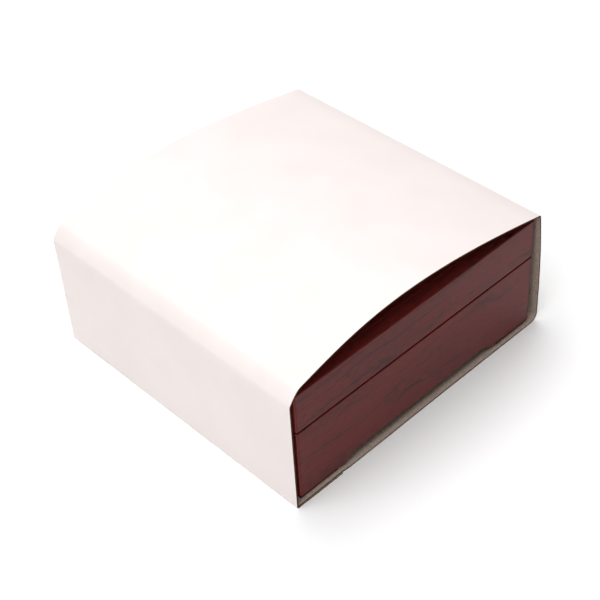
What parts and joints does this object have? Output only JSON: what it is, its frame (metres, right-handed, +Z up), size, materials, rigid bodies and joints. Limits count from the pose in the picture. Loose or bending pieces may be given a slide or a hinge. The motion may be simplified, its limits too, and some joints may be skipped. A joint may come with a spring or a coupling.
{
  "type": "coin display case",
  "caption": "Square lacquered wooden coin case with a hinged lid, magnets and a velvet seat for one large coin, held in a white card sleeve open at both ends.",
  "frame": {"origin": "middle of the sleeve's underside, on the surface that it stands on", "axes": "+X to the right seen from the front, +Y from front to back along the sleeve, +Z up"},
  "size_m": [0.1057, 0.1018, 0.0517],
  "materials": {
    "mahogany_lacquer": "dark red mahogany grain under satin-gloss lacquer",
    "fibre_board": "plain sanded fibre board",
    "black_rubber": "matt black sheet rubber",
    "black_felt": "short black felt",
    "black_velvet": "black velvet pile",
    "tray_foam": "dense grey foam",
    "ivory_satin": "ivory satin cloth",
    "grey_card": "grey backing card",
    "hinge_brass": "polished brass",
    "screw_brass": "brass with turned slots",
    "nickel_plate": "nickel plate",
    "white_card": "smooth white coated board, grey-brown inside"
  },
  "bodies": {
    "base": {"base_front_rail": "mahogany_lacquer", "base_back_rail": "mahogany_lacquer", "base_left_rail": "mahogany_lacquer", "base_right_rail": "mahogany_lacquer", "front_left_foot_pad": "black_rubber", "front_right_foot_pad": "black_rubber", "back_left_foot_pad": "black_rubber", "back_right_foot_pad": "black_rubber", "base_floor_board": "fibre_board", "base_felt": "black_felt", "base_liner_strips": "black_velvet", "tray_board": "fibre_board", "tray_foam": "tray_foam", "tray_velvet": "black_velvet", "seat_disc": "black_velvet", "left_hinge_base_leaf": "hinge_brass", "left_hinge_pin": "hinge_brass", "right_hinge_base_leaf": "hinge_brass", "right_hinge_pin": "hinge_brass", "base_hinge_screws": "screw_brass", "base_magnets": "nickel_plate"},
    "lid": {"lid_front_rail": "mahogany_lacquer", "lid_back_rail": "mahogany_lacquer", "lid_left_rail": "mahogany_lacquer", "lid_right_rail": "mahogany_lacquer", "lid_top_board": "mahogany_lacquer", "lid_liner_strips": "ivory_satin", "lid_pad_card": "grey_card", "lid_satin_pad": "ivory_satin", "left_hinge_lid_leaf": "hinge_brass", "right_hinge_lid_leaf": "hinge_brass", "lid_hinge_screws": "screw_brass", "lid_magnets": "nickel_plate"},
    "sleeve": {"sleeve_bottom_panel": "white_card", "sleeve_left_panel": "white_card", "sleeve_right_panel": "white_card", "sleeve_top_panel": "white_card", "sleeve_glue_flap": "white_card"}
  },
  "joints": [
    {"name": "lid_hinge", "type": "hinge", "parent": "base", "child": "lid", "pos_m": [0, 0.0476, 0.0275], "axis": [-1, 0, 0], "range_deg": [0, 95], "deforming": ["sleeve_top_panel"]},
    {"name": "sleeve_slide", "type": "slide", "parent": "base", "child": "sleeve", "axis": [0, -1, 0], "range_m": [-0.115, 0.115]}
  ]
}
